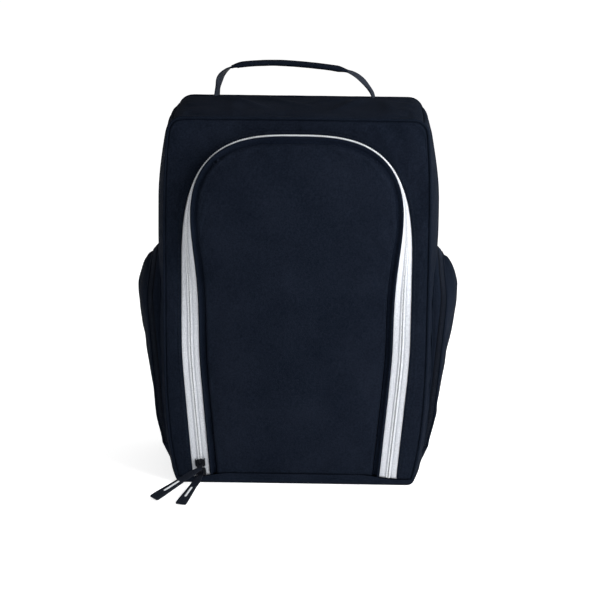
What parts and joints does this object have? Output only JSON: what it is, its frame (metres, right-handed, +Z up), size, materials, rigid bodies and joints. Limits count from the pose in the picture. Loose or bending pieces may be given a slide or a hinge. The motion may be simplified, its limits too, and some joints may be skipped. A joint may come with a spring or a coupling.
{
  "type": "golf shoe bag",
  "caption": "Upright padded shoe bag with an arched zip-open front flap, a domed zip pocket on each side and a grab handle on top.",
  "frame": {"origin": "centre of the base's flat underside, where the bag rests", "axes": "+Z up, -Y to the front with the flap, +X to the right as seen from in front, looking along +Y"},
  "size_m": [0.298, 0.2195, 0.3785],
  "materials": {
    "fabric": "matt woven polyester",
    "binding": "matt woven binding",
    "piping": "matt woven piping",
    "lining": "smooth lining",
    "zip_tape": "matt woven tape",
    "zip_coil": "satin nylon coil",
    "pocket_zip": "black tape and coil",
    "slider_metal": "black enamel, worn at the edges",
    "pull_ribbon": "woven ribbon",
    "pull_rubber": "ribbed moulded pull with a plain pale bar",
    "webbing": "woven webbing",
    "stiffener_board": "plain board"
  },
  "bodies": {
    "root": {"base_panel": "fabric", "base_board": "stiffener_board", "left_side_panel": "fabric", "right_side_panel": "fabric", "top_panel": "fabric", "back_panel": "fabric", "front_surround": "fabric", "front_piping": "piping", "rear_piping": "piping", "outer_zip_tape": "zip_tape", "outer_zip_coil": "zip_coil", "left_inner_tape_foot": "zip_tape", "right_inner_tape_foot": "zip_tape", "left_inner_coil_foot": "zip_coil", "right_inner_coil_foot": "zip_coil", "flap_foot": "fabric", "left_handle_foot": "webbing", "right_handle_foot": "webbing", "handle_reinforcement": "webbing", "left_pocket_gusset": "fabric", "left_pocket_floor": "fabric", "left_pocket_body_zip": "pocket_zip", "right_pocket_gusset": "fabric", "right_pocket_floor": "fabric", "right_pocket_body_zip": "pocket_zip"},
    "flap": {"inner_zip_tape": "zip_tape", "inner_zip_coil": "zip_coil", "flap_band": "binding", "flap_panel": "fabric", "flap_lining": "lining"},
    "handle": {"left_handle_strap": "webbing", "handle_sleeve": "webbing", "right_handle_strap": "webbing"},
    "upper_slider_body": {"upper_slider": "slider_metal"},
    "upper_pull": {"upper_tab": "slider_metal", "upper_pull_ribbon": "pull_ribbon", "upper_pull_grip": "pull_rubber"},
    "lower_slider_body": {"lower_slider": "slider_metal"},
    "lower_pull": {"lower_tab": "slider_metal", "lower_pull_ribbon": "pull_ribbon", "lower_pull_grip": "pull_rubber"},
    "left_lid": {"left_pocket_lid_zip": "pocket_zip", "left_pocket_lid": "fabric"},
    "left_pocket_slider_body": {"left_pocket_slider": "slider_metal"},
    "left_pocket_pull_body": {"left_pocket_tab": "slider_metal", "left_pocket_pull": "pull_ribbon"},
    "right_lid": {"right_pocket_lid_zip": "pocket_zip", "right_pocket_lid": "fabric"},
    "right_pocket_slider_body": {"right_pocket_slider": "slider_metal"},
    "right_pocket_pull_body": {"right_pocket_tab": "slider_metal", "right_pocket_pull": "pull_ribbon"}
  },
  "joints": [
    {"name": "flap_fold", "type": "hinge", "parent": "root", "child": "flap", "pos_m": [0, -0.0755, 0.03], "axis": [1, 0, 0], "range_deg": [0, 90]},
    {"name": "handle_swing", "type": "hinge", "parent": "root", "child": "handle", "pos_m": [0, 0.058, 0.35169], "axis": [1, 0, 0], "range_deg": [-75, 75]},
    {"name": "upper_slider_run", "type": "slide", "parent": "root", "child": "upper_slider_body", "axis": [-0.0883, 0, 0.9961], "range_m": [0, 0.09]},
    {"name": "lower_slider_run", "type": "slide", "parent": "root", "child": "lower_slider_body", "axis": [-0.0883, 0, 0.9961], "range_m": [0, 0.09]},
    {"name": "upper_pull_swing", "type": "hinge", "parent": "upper_slider_body", "child": "upper_pull", "pos_m": [-0.08727, -0.0785, 0.01978], "axis": [1, 0, 0], "range_deg": [-100, 3]},
    {"name": "lower_pull_swing", "type": "hinge", "parent": "lower_slider_body", "child": "lower_pull", "pos_m": [-0.08654, -0.0785, 0.01148], "axis": [1, 0, 0], "range_deg": [-3, 80]},
    {"name": "left_lid_fold", "type": "hinge", "parent": "root", "child": "left_lid", "pos_m": [-0.1277, 0, 0.032], "axis": [0, -1, 0], "range_deg": [0, 70]},
    {"name": "left_pocket_slider_run", "type": "slide", "parent": "root", "child": "left_pocket_slider_body", "axis": [-0.0878, 0, 0.9961], "range_m": [0, 0.075]},
    {"name": "left_pocket_pull_swing", "type": "hinge", "parent": "left_pocket_slider_body", "child": "left_pocket_pull_body", "pos_m": [-0.12632, 0.05515, 0.068], "axis": [0.9961, 0, 0.0878], "range_deg": [0, 110]},
    {"name": "right_lid_fold", "type": "hinge", "parent": "root", "child": "right_lid", "pos_m": [0.1277, 0, 0.032], "axis": [0, 1, 0], "range_deg": [0, 70]},
    {"name": "right_pocket_slider_run", "type": "slide", "parent": "root", "child": "right_pocket_slider_body", "axis": [0.0878, 0, 0.9961], "range_m": [0, 0.075]},
    {"name": "right_pocket_pull_swing", "type": "hinge", "parent": "right_pocket_slider_body", "child": "right_pocket_pull_body", "pos_m": [0.12632, 0.05515, 0.068], "axis": [0.9961, 0, -0.0878], "range_deg": [0, 110]}
  ],
  "couplings": [
    {"joint": "lower_slider_run", "follows": "upper_slider_run", "ratio": 1}
  ]
}
